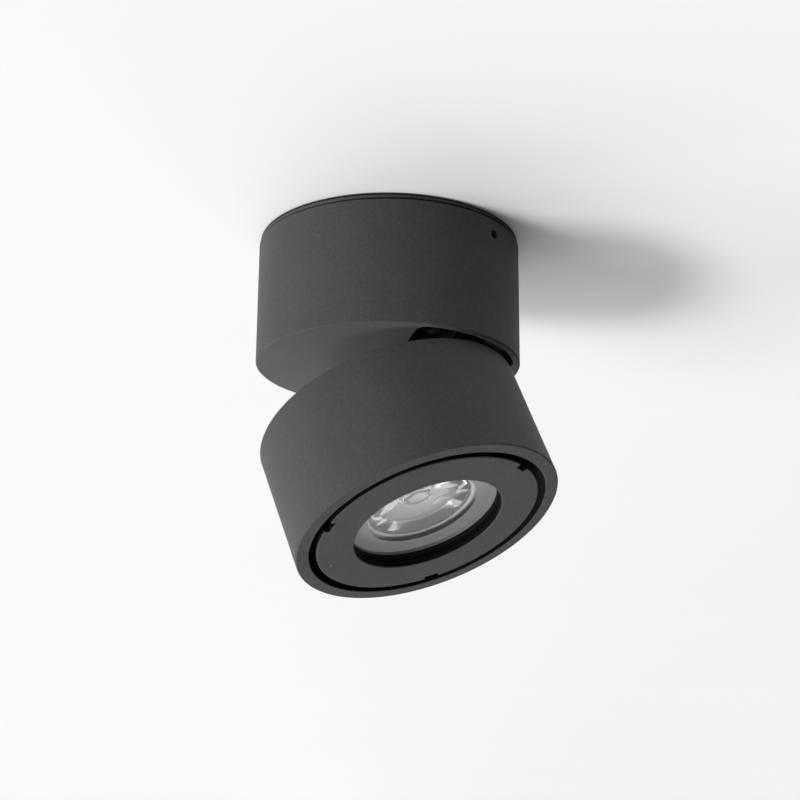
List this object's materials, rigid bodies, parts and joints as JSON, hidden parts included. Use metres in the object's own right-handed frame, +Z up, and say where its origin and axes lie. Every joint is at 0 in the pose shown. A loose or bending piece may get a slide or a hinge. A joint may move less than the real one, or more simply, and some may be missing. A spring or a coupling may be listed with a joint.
{
  "type": "surface mounted ceiling spotlight",
  "caption": "Round ceiling spotlight: an upper cylinder that turns on its ceiling base and an equal lower lamp head that tilts on a hinge hidden at the rim.",
  "frame": {"origin": "centre of the base's upper face, on the ceiling plane", "axes": "+Z up out of the ceiling face along the axis the housing turns about, +X the way the lamp head tilts, +Y along the hinge pin"},
  "size_m": [0.1152, 0.1, 0.1341],
  "materials": {
    "black_powder_coat": "fine textured matt powder coat on turned aluminium",
    "black_anodised": "matt black anodised",
    "black_paint": "matt black paint",
    "cast_aluminium": "die cast, satin",
    "zinc_plated_steel": "zinc plated",
    "black_steel": "blackened",
    "brass": "plain",
    "white_nylon": "moulded",
    "black_plastic": "moulded, matt",
    "light_grey_plastic": "moulded, satin",
    "green_board": "solder mask",
    "ferrite": "sintered",
    "copper_winding": "enamelled wire",
    "capacitor_sleeve": "shrink sleeve",
    "grey_rubber": "matt",
    "black_rubber": "matt",
    "white_board": "white solder mask on metal core",
    "phosphor": "satin",
    "clear_acrylic": "polished",
    "clear_glass": "polished"
  },
  "bodies": {
    "base": {"ceiling_base": "black_paint", "cable_grommet": "black_rubber", "pan_stop_pin": "zinc_plated_steel", "terminal_block": "white_nylon", "terminal_screws": "zinc_plated_steel", "terminal_block_screws": "zinc_plated_steel", "earth_screw": "brass"},
    "housing": {"housing_shell": "black_powder_coat", "grub_screws": "black_steel", "hinge_bracket": "black_paint", "bracket_screws": "black_steel", "driver_case": "white_nylon", "driver_lid": "white_nylon", "driver_board": "green_board", "transformer": "ferrite", "capacitors": "capacitor_sleeve", "driver_coil": "copper_winding", "driver_connectors": "light_grey_plastic", "driver_screws": "zinc_plated_steel"},
    "head": {"head_shell": "black_powder_coat", "heat_sink": "cast_aluminium", "heat_sink_screws": "zinc_plated_steel", "hinge_pin": "black_steel", "friction_washers": "white_nylon", "disc_spring": "zinc_plated_steel", "hinge_nut": "black_steel", "thermal_pad": "grey_rubber", "led_board": "white_board", "led_emitter": "phosphor", "led_holder": "white_nylon", "led_holder_screws": "zinc_plated_steel", "lens": "clear_acrylic", "lens_plate": "light_grey_plastic", "lens_retainer": "black_plastic", "front_glass": "clear_glass", "glass_seal": "grey_rubber", "optic_cup": "black_anodised", "optic_cup_screws": "zinc_plated_steel"},
    "ring": {"front_ring": "black_powder_coat"}
  },
  "joints": [
    {"name": "pan", "type": "hinge", "parent": "base", "child": "housing", "pos_m": [0, 0, 0], "axis": [0, 0, 1], "range_deg": [-176.8, 176.8]},
    {"name": "tilt", "type": "hinge", "parent": "housing", "child": "head", "pos_m": [0.04275, 0, -0.0606], "axis": [0, -1, 0], "range_deg": [-24.2, 65.8]},
    {"name": "front_ring_twist", "type": "hinge", "parent": "head", "child": "ring", "pos_m": [0.0006, 0, -0.0711], "axis": [-0.4099, 0, 0.9121], "range_deg": [0, 15]}
  ]
}
